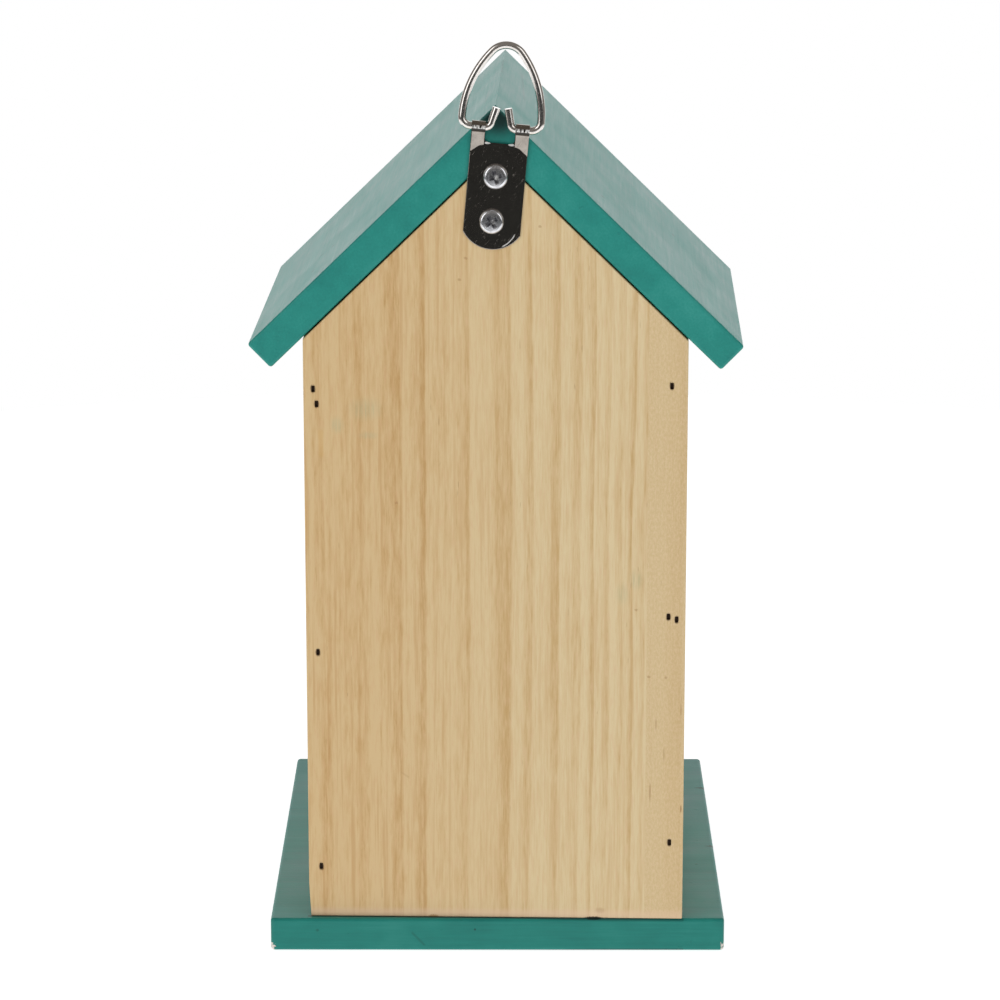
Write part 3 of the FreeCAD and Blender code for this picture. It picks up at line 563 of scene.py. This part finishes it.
def strap_details(tree, place, scuff, colour, rough):
    """The bent tabs carry their lean down into the plate's shoulders. The rolled knuckles get a
    painted brown reflection on top, a band of white dashes that is partly scuffing and partly
    painted highlight, painted dark reflection between them and painted shade in the crease below;
    the notch's corners get painted glints."""
    across, rise = hanger_directions(tree, place)
    aside = tree.math("ABSOLUTE", across)
    fold = tree.scaled(aside, -FOLD_SLOPE, -5.0 + TAB_INNER * FOLD_SLOPE)
    above_fold = tree.between(tree.math("SUBTRACT", rise, fold), -0.35, 0.35)
    outer = tree.between(aside, TAB_INNER - 0.1, TAB_INNER + 0.3)
    below_bend = tree.between(rise, -5.97, -5.6, 1.0, 0.0)
    shoulder = tree.math("MULTIPLY", tree.math("MULTIPLY", above_fold, outer), below_bend)
    flat = tree.math("MULTIPLY", tree.math("SUBTRACT", 1.0, outer),
                     tree.between(rise, -6.1, -5.8))
    lean = tree.total(tree.scaled(shoulder, -TAB_TILT), tree.scaled(flat, TAB_TILT))
    facing = tree.add("NewGeometry").outputs["Normal"]
    leant = tree.add("VectorMath", {0: facing, 1: tree.vector(0.0, 0.0, lean)}, operation="ADD")
    under = tree.add("VectorMath", {0: leant.outputs[0]}, operation="NORMALIZE").outputs[0]
    # Painted reflection: the tops of the knuckles are painted brown, for the dim room mirrored
    # there.
    top = tree.between(rise, 0.5, 0.9)
    colour = tree.mix(tree.scaled(top, 0.7), colour, KNUCKLE_TOP_REFLECTION)
    # Along the knuckles' middle: white dashes, partly scuffing and partly painted highlight, with
    # painted dark reflection between them; below, a painted shade line in the crease.
    dashes = tree.noise(tree.vector(tree.scaled(across, 1.7), tree.scaled(rise, 0.5), 0.0),
                        1.0, 1.0, 0.5)
    middle = tree.spot(rise, 0.0, (0.05, 0.0), (0.5, 1.0), 0.3)
    worn = tree.math("MULTIPLY", middle, tree.between(dashes, 0.42, 0.52))
    dark_reflection_dashes = tree.math("MULTIPLY", middle, tree.between(dashes, 0.42, 0.52, 1.0, 0.0))
    crease_shade = tree.spot(rise, 0.0, (-0.95, 0.0), (0.55, 1.0), 0.35)
    dark = tree.strongest([tree.scaled(dark_reflection_dashes, 0.75), tree.scaled(crease_shade, 0.92)])
    colour = tree.mix(dark, colour, KNUCKLE_DARK)
    # Painted highlight: a glint at each bottom corner of the notch.
    glint = tree.math("MULTIPLY", tree.spot(aside, rise, (3.7, -5.2), (0.9, 0.38), 0.25), flat)
    from_arc = tree.vector(tree.total(across, -ARC_MIDDLE[0]), tree.total(rise, -ARC_MIDDLE[1]),
                           0.0)
    out = tree.add("VectorMath", {0: from_arc}, operation="LENGTH").outputs["Value"]
    arc = tree.between(tree.math("ABSOLUTE", tree.total(out, -ARC_R)), 0.10, 0.26, 1.0, 0.0)
    arc = tree.math("MULTIPLY", arc, tree.between(across, -4.2, -3.0, 1.0, 0.0))
    arc = tree.math("MULTIPLY", arc, tree.between(rise, -33.6, -32.2, 1.0, 0.0))
    bright = tree.strongest([worn, glint, tree.scaled(arc, 0.9)])
    colour = tree.mix(bright, colour, SCUFF_AND_HIGHLIGHT_WHITE)
    rough = tree.math("MULTIPLY_ADD", bright, 0.45, rough)
    scratch_lines = tree.between(scuff, 0.60, 0.63)
    rough = tree.math("MULTIPLY_ADD", scratch_lines, 0.06, rough)
    return colour, rough, under


SCREW_MIDDLES = ((0.28, -15.3), (0.28, -29.3))      # in the strap's directions
SCREW_TOP_Y = 87.68
RECESS_SHADE_GREY = rgb(0.27, 0.27, 0.29)


def screw_details(tree, place, scuff, colour, rough):
    """Cross recesses painted grey as shade, and bright patches in the middle."""
    across, rise = hanger_directions(tree, place)
    # Painted shade: the cross recesses are painted grey, darker than the head.
    sunk = tree.between(place["Y"], SCREW_TOP_Y - 0.55, SCREW_TOP_Y - 0.35, 1.0, 0.0)
    near = tree.strongest([tree.spot(across, rise, middle, (2.3, 2.3), 0.1)
                           for middle in SCREW_MIDDLES])
    bright_middle = tree.strongest([tree.spot(across, rise, (middle[0] - 0.3, middle[1] - 0.2),
                                     (0.75, 0.75), 0.4) for middle in SCREW_MIDDLES])
    recess_shade = tree.math("MULTIPLY", sunk, near)
    colour = tree.mix(recess_shade, colour, RECESS_SHADE_GREY)
    rough = tree.math("MULTIPLY_ADD", recess_shade, 0.16, rough)
    bright = tree.math("MULTIPLY", bright_middle, tree.between(scuff, 0.40, 0.55))
    colour = tree.mix(bright, colour, SCUFF_AND_HIGHLIGHT_WHITE)
    rough = tree.math("MULTIPLY_ADD", bright, 0.4, rough)
    return colour, rough, None


def dull_wire(name):
    """Brad wire down in its hole, painted near-black with a mottle as the shade in the hole."""
    material, tree = new_material(name)
    place = tree.place()
    point = tree.point(place)
    hole_mottle = tree.noise(point, 1.4, 3.0, 0.6)
    colour = tree.mix(hole_mottle, rgb(0.012, 0.006, 0.003), rgb(0.055, 0.034, 0.022))
    normal = tree.bump(hole_mottle, 0.00006, 0.5)
    tree.finish_surface(colour, tree.scaled(hole_mottle, 0.3, 0.45), normal, Metallic=0.3,
                        Specular_IOR_Level=0.2)
    return material


def clear_acrylic(name):
    """Clear sheet with light handling scratches."""
    material, tree = new_material(name)
    place = tree.place()
    slanted = tree.vector(tree.total(tree.scaled(place["X"], 0.9), tree.scaled(place["Z"], 0.7)),
                          place["Y"],
                          tree.total(tree.scaled(place["Z"], 0.02), tree.scaled(place["X"], -0.02)))
    scratch = tree.between(tree.noise(slanted, 1.0, 3.0, 0.6), 0.70, 0.74)
    smear = tree.noise(tree.point(place), 0.03, 3.0, 0.6)
    colour = tree.mix(smear, rgb(0.97, 0.985, 0.98), rgb(0.93, 0.955, 0.95))
    roughness = tree.total(tree.scaled(smear, 0.01), tree.scaled(scratch, 0.15, 0.0))
    normal = tree.bump(tree.scaled(scratch, -1.0), 0.00002, 0.4)
    tree.finish_surface(colour, roughness, normal, IOR=1.49, Transmission_Weight=1.0)
    return material


# ---- Dressing the CAD nodes ---------------------------------------------------------------
def dress(material, *names):
    """Gives the material to every slot of the named nodes."""
    for name in names:
        mesh = NODES[name].data
        if not mesh.materials:
            mesh.materials.append(material)
        for index in range(len(mesh.materials)):
            mesh.materials[index] = material


# Growth ring edges across each board, in mm from its first edge.
BACK_RINGS = (6.3, 21.2, 31, 38.4, 44.7, 52.1, 65.4, 71.7, 80.5, 87, 91.3, 96.3, 100.7, 104,
              107.7)
SIDE_RINGS = (7, 12, 18, 27, 38, 50, 61, 70, 77, 82, 86, 90)
GABLE_RINGS = (5, 10, 16, 23, 33, 46, 60, 73, 83, 91, 97, 103, 108, 113)
RAIL_RINGS = (2.5, 5, 8, 10.5)


def dress_wood():
    body_low, body_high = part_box("back_board")
    side_low, side_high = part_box("right_side_board")
    width = (body_high.x - body_low.x) / MM
    side_width = (side_high.y - side_low.y) / MM
    dress(pine("pine_back", "Z", "X", "Y", -width, BACK_RINGS, body_high.x / MM,
               face=body_high.y / MM, pink_from=107.5,
               tints=(rgb(0.876, 0.814, 0.731), rgb(0.945, 0.970, 0.985)),
               marks=back_board_marks), "back_board")
    dress(pine("pine_gable", "Z", "X", "Y", width, GABLE_RINGS, body_low.x / MM,
               wander=7.0), "front_gable_board")
    dress(pine("pine_left_side", "Z", "Y", "X", side_width, SIDE_RINGS, side_low.y / MM,
               wander=8.0, lean=0.06), "left_side_board")
    dress(pine("pine_right_side", "Z", "Y", "X", -side_width, SIDE_RINGS, side_high.y / MM,
               wander=6.0, lean=-0.05, tints=(rgb(0.97, 0.98, 0.98), rgb(1, 1, 1))),
          "right_side_board")
    rail_low, rail_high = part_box("front_tray_rail")
    rail_height = (rail_high.z - rail_low.z) / MM
    rail_start = rail_low.z / MM
    dress(pine("pine_front_rail", "X", "Z", "Y", rail_height, RAIL_RINGS, rail_start,
               wander=3.0, lean=0.12), "front_tray_rail")
    dress(pine("pine_side_rails", "Y", "Z", "X", rail_height, RAIL_RINGS, rail_start,
               wander=3.0, lean=0.1), "left_tray_rail", "right_tray_rail")
    cleat_low, cleat_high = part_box("rear_roof_cleat")
    cleat_height = (cleat_high.z - cleat_low.z) / MM
    dress(pine("pine_cleats", "X", "Z", "Y", cleat_height, (6, 11, 15, 20, 26),
               cleat_low.z / MM, wander=3.0, lean=0.1), "rear_roof_cleat", "front_roof_cleat")
    dress(plywood("ramp_plywood"), "seed_ramp")


def dress_paint():
    # The base's paint is tinted darker and the roof's lighter: painted shade on the base and
    # painted light on the roof.
    dress(teal_paint("teal_base", "X", "Y", rgb(0.82, 0.85, 0.88), 0.25, corner_chips,
                     BASE_CRACKS, base_stains_and_shadow), "base_board")
    dress(teal_paint("teal_roof", "Y", "X", rgb(0.94, 1.02, 1.06), 0.31, stains_and_shade=roof_stains_and_shade),
          "left_roof_board", "right_roof_board", "ridge_brads")


def dress_metal():
    dress(plated_metal("nickel_plate", rgb(0.41, 0.375, 0.335), rgb(0.33, 0.30, 0.27), 0.10,
                       0.00001, strap_details), "hanger_strap")
    dress(plated_metal("nickel_wire", rgb(0.82, 0.79, 0.76), rgb(0.68, 0.64, 0.60), 0.17,
                       0.000004), "hanging_ring")
    dress(plated_metal("zinc_screws", rgb(0.82, 0.83, 0.86), rgb(0.56, 0.57, 0.60), 0.24,
                       0.00001, screw_details), "upper_hanger_screw", "lower_hanger_screw")
    dress(dull_wire("brad_wire"), *[name for name in NODES
                                    if name.endswith("_brads") and name != "ridge_brads"])
    dress(clear_acrylic("clear_acrylic"), "window_pane")


# ---- Stage, light and camera --------------------------------------------------------------
FLOOR_RADIUS = 0.75
FLOOR_GLOW = 0.83
ROOM = rgb(0.20, 0.185, 0.17)
OVERHEAD = rgb(0.57, 0.57, 0.57)
ROOM_DARK = rgb(0.042, 0.044, 0.043)
FILL = rgb(0.97, 0.97, 0.97)
BACKDROP = rgb(1.38, 1.38, 1.38)
CAMERA_PLACE = Vector((-0.0317, 1.3021, 0.4524))
CAMERA_DOWN = math.radians(13.98)
CAMERA_HEADING = math.radians(181.425)
LENS_MM = 144.0
SENSOR_MM = 36.0


def make_floor():
    """A white table top lit from inside, so that it keeps only a faint shadow."""
    bpy.ops.mesh.primitive_circle_add(vertices=96, radius=FLOOR_RADIUS, fill_type="NGON")
    floor = bpy.context.object
    floor.name = "floor"
    floor.location.z = CAD_BOX[0].z - 0.0002
    material, tree = new_material("floor_white")
    place = tree.place()
    grain = tree.noise(tree.point(place), 0.02, 2.0, 0.5)
    colour = tree.mix(grain, rgb(0.50, 0.50, 0.50), rgb(0.53, 0.53, 0.53))
    shader = tree.finish_surface(colour, 0.9, None, Specular_IOR_Level=0.1)
    shader.inputs["Emission Color"].default_value = rgb(1.0, 1.0, 1.0)
    shader.inputs["Emission Strength"].default_value = FLOOR_GLOW
    floor.data.materials.append(material)


def make_world():
    """A dim room with a white backdrop behind the feeder, white fill from below and a brighter
    ceiling, the last two for scattered rays only. Low down on the camera's side, mirrored
    rays find it darker, so that bright metal shows contrast. Directions run from -1 to 1."""
    world = bpy.data.worlds.new("studio")
    bpy.context.scene.world = world
    tree = Tree(world)
    coordinates = tree.add("TexCoord")
    split = tree.add("SeparateXYZ", {0: coordinates.outputs["Generated"]})
    path = tree.add("LightPath")
    behind_camera = tree.between(split.outputs["Y"], 0.30, 0.50)
    low = tree.between(split.outputs["Z"], -0.02, 0.06, 1.0, 0.0)
    mirrored = tree.mix(tree.math("MULTIPLY", behind_camera, low), ROOM, ROOM_DARK)
    high = tree.between(split.outputs["Z"], 0.60, 0.80)
    scattered = tree.mix(low, tree.mix(high, ROOM, OVERHEAD), FILL)
    surround = tree.mix(path.outputs["Is Glossy Ray"], scattered, mirrored)
    at_back = tree.between(split.outputs["Y"], -0.90, -0.72, 1.0, 0.0)
    surround = tree.mix(at_back, surround, BACKDROP)
    lit = tree.add("Background", {"Color": surround, "Strength": 1.0})
    seen = tree.add("Background", {"Color": rgb(1.0, 1.0, 1.0), "Strength": 1.0})
    mix = tree.add("MixShader", {0: path.outputs["Is Camera Ray"], 1: lit.outputs[0],
                                 2: seen.outputs[0]})
    output = tree.add("OutputWorld")
    tree.tree.links.new(mix.outputs[0], output.inputs[0])


def add_softbox(name, place, target, size, radiance):
    """A rectangle of even light. Blender's power for it is radiance x area x pi."""
    light = bpy.data.lights.new(name, "AREA")
    light.shape = "RECTANGLE"
    light.size, light.size_y = size
    light.energy = radiance * size[0] * size[1] * math.pi
    lamp = bpy.data.objects.new(name, light)
    lamp.location = place
    aim = Vector(target) - Vector(place)
    lamp.rotation_mode = "QUATERNION"
    lamp.rotation_quaternion = aim.to_track_quat("-Z", "Y")
    lamp.visible_camera = False
    bpy.context.scene.collection.objects.link(lamp)


def make_lights():
    """Two tall softboxes, 50 degrees to either side of the camera."""
    target = (0.0, 0.085, 0.30)
    add_softbox("softbox_left", (0.90, 0.84, 0.66), target, (0.57, 1.15), 1.80)
    add_softbox("softbox_right", (-0.90, 0.84, 0.72), target, (0.55, 1.05), 1.42)


def make_camera():
    data = bpy.data.cameras.new("camera")
    data.lens = LENS_MM
    data.sensor_width = SENSOR_MM
    data.clip_start = 0.05
    data.clip_end = 20.0
    camera = bpy.data.objects.new("camera", data)
    camera.location = CAMERA_PLACE
    camera.rotation_euler = (math.pi / 2 - CAMERA_DOWN, 0.0, CAMERA_HEADING)
    bpy.context.scene.collection.objects.link(camera)
    bpy.context.scene.camera = camera


def main():
    bpy.context.scene.view_settings.view_transform = "Standard"
    dress_wood()
    dress_paint()
    dress_metal()
    make_floor()
    make_world()
    make_lights()
    make_camera()


main()
